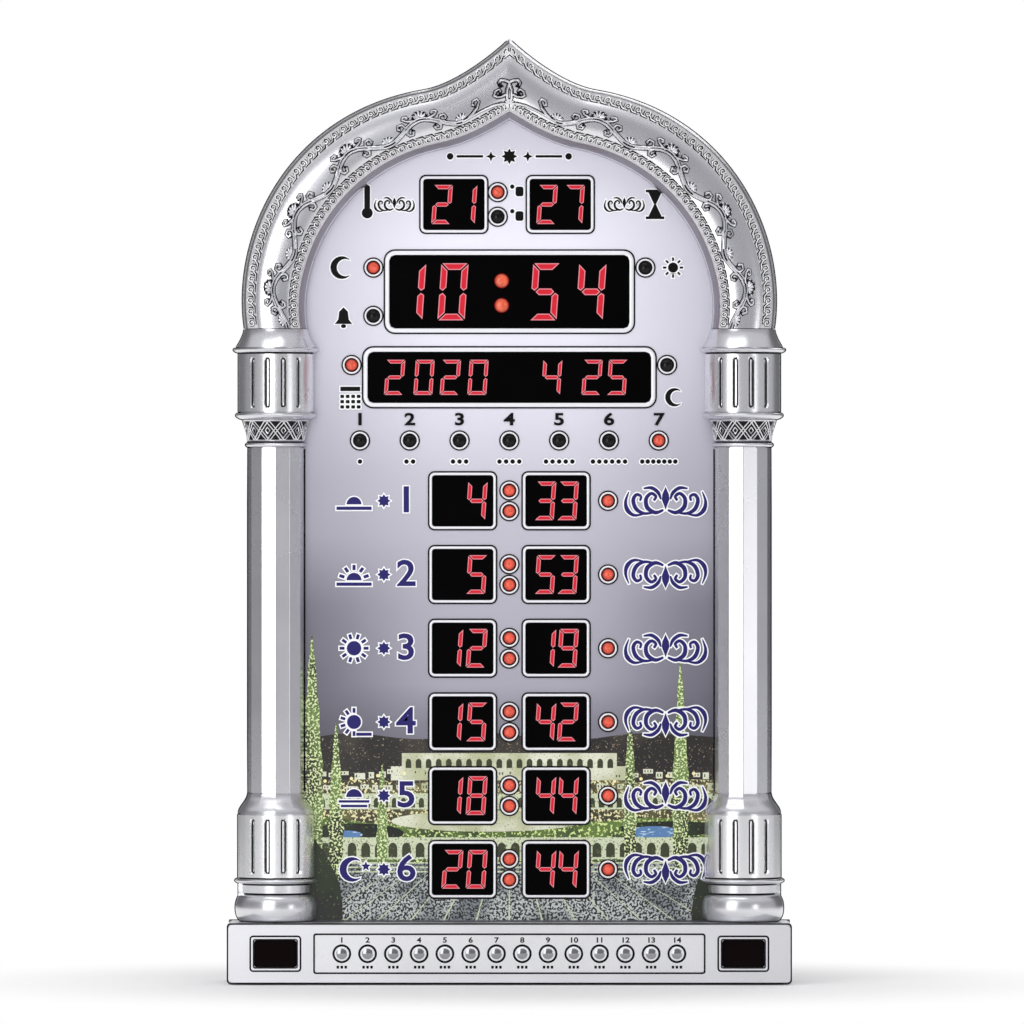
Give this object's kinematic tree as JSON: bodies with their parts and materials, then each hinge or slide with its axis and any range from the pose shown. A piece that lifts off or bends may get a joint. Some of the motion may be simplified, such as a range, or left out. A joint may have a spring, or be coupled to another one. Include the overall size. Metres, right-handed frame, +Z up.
{
  "type": "prayer time clock",
  "caption": "Digital prayer-time clock for a wall or shelf, with seven-segment windows in a recessed face under a pointed arch on fluted columns, and push buttons in its base.",
  "frame": {"origin": "under the middle of the base, at the middle of the whole part's width and depth", "axes": "+Z up, +X to the right of someone who reads the face, the face looks along -Y and the rear cover's flat back along +Y"},
  "size_m": [0.2566, 0.0516, 0.43],
  "materials": {
    "frame_silver": "metallised satin silver",
    "button_silver": "metallised bright silver",
    "face_print": "printed glossy film on a plastic plate",
    "cover_grey": "fine spark-eroded texture",
    "display_black": "black face with red segments",
    "smoked_window": "dark red infrared filter, polished",
    "board_green": "solder-masked circuit board",
    "part_black": "moulded black",
    "screw_steel": "zinc plated"
  },
  "bodies": {
    "root": {"arch_frame": "frame_silver", "column_left": "frame_silver", "column_right": "frame_silver", "base_housing": "frame_silver", "button_strip": "frame_silver", "face_panel": "face_print", "rear_cover": "cover_grey", "temperature_display": "display_black", "countdown_display": "display_black", "clock_display": "display_black", "date_display": "display_black", "row_1_hour_display": "display_black", "row_2_hour_display": "display_black", "row_3_hour_display": "display_black", "row_4_hour_display": "display_black", "row_5_hour_display": "display_black", "row_6_hour_display": "display_black", "row_1_minute_display": "display_black", "row_2_minute_display": "display_black", "row_3_minute_display": "display_black", "row_4_minute_display": "display_black", "row_5_minute_display": "display_black", "row_6_minute_display": "display_black", "receiver_window": "smoked_window", "light_sensor_window": "smoked_window", "main_board": "board_green", "button_board": "board_green", "infrared_receiver": "part_black", "light_sensor": "part_black", "speaker": "part_black", "power_jack": "part_black", "cell_holder": "part_black", "board_screw_01": "screw_steel", "board_screw_02": "screw_steel", "board_screw_03": "screw_steel", "board_screw_04": "screw_steel", "cover_screw_01": "screw_steel", "cover_screw_02": "screw_steel", "cover_screw_03": "screw_steel", "cover_screw_04": "screw_steel", "cover_screw_05": "screw_steel", "cover_screw_06": "screw_steel", "cover_screw_07": "screw_steel", "cover_screw_08": "screw_steel", "coin_cell": "screw_steel"},
    "button_01": {"button_01": "button_silver"},
    "button_02": {"button_02": "button_silver"},
    "button_03": {"button_03": "button_silver"},
    "button_04": {"button_04": "button_silver"},
    "button_05": {"button_05": "button_silver"},
    "button_06": {"button_06": "button_silver"},
    "button_07": {"button_07": "button_silver"},
    "button_08": {"button_08": "button_silver"},
    "button_09": {"button_09": "button_silver"},
    "button_10": {"button_10": "button_silver"},
    "button_11": {"button_11": "button_silver"},
    "button_12": {"button_12": "button_silver"},
    "button_13": {"button_13": "button_silver"},
    "button_14": {"button_14": "button_silver"}
  },
  "joints": [
    {"name": "press_button_01", "type": "slide", "parent": "root", "child": "button_01", "axis": [0, 1, 0], "range_m": [0, 0.0005], "stiffness_N_per_m": 200, "springref_m": -0.001},
    {"name": "press_button_02", "type": "slide", "parent": "root", "child": "button_02", "axis": [0, 1, 0], "range_m": [0, 0.0005], "stiffness_N_per_m": 200, "springref_m": -0.001},
    {"name": "press_button_03", "type": "slide", "parent": "root", "child": "button_03", "axis": [0, 1, 0], "range_m": [0, 0.0005], "stiffness_N_per_m": 200, "springref_m": -0.001},
    {"name": "press_button_04", "type": "slide", "parent": "root", "child": "button_04", "axis": [0, 1, 0], "range_m": [0, 0.0005], "stiffness_N_per_m": 200, "springref_m": -0.001},
    {"name": "press_button_05", "type": "slide", "parent": "root", "child": "button_05", "axis": [0, 1, 0], "range_m": [0, 0.0005], "stiffness_N_per_m": 200, "springref_m": -0.001},
    {"name": "press_button_06", "type": "slide", "parent": "root", "child": "button_06", "axis": [0, 1, 0], "range_m": [0, 0.0005], "stiffness_N_per_m": 200, "springref_m": -0.001},
    {"name": "press_button_07", "type": "slide", "parent": "root", "child": "button_07", "axis": [0, 1, 0], "range_m": [0, 0.0005], "stiffness_N_per_m": 200, "springref_m": -0.001},
    {"name": "press_button_08", "type": "slide", "parent": "root", "child": "button_08", "axis": [0, 1, 0], "range_m": [0, 0.0005], "stiffness_N_per_m": 200, "springref_m": -0.001},
    {"name": "press_button_09", "type": "slide", "parent": "root", "child": "button_09", "axis": [0, 1, 0], "range_m": [0, 0.0005], "stiffness_N_per_m": 200, "springref_m": -0.001},
    {"name": "press_button_10", "type": "slide", "parent": "root", "child": "button_10", "axis": [0, 1, 0], "range_m": [0, 0.0005], "stiffness_N_per_m": 200, "springref_m": -0.001},
    {"name": "press_button_11", "type": "slide", "parent": "root", "child": "button_11", "axis": [0, 1, 0], "range_m": [0, 0.0005], "stiffness_N_per_m": 200, "springref_m": -0.001},
    {"name": "press_button_12", "type": "slide", "parent": "root", "child": "button_12", "axis": [0, 1, 0], "range_m": [0, 0.0005], "stiffness_N_per_m": 200, "springref_m": -0.001},
    {"name": "press_button_13", "type": "slide", "parent": "root", "child": "button_13", "axis": [0, 1, 0], "range_m": [0, 0.0005], "stiffness_N_per_m": 200, "springref_m": -0.001},
    {"name": "press_button_14", "type": "slide", "parent": "root", "child": "button_14", "axis": [0, 1, 0], "range_m": [0, 0.0005], "stiffness_N_per_m": 200, "springref_m": -0.001}
  ]
}
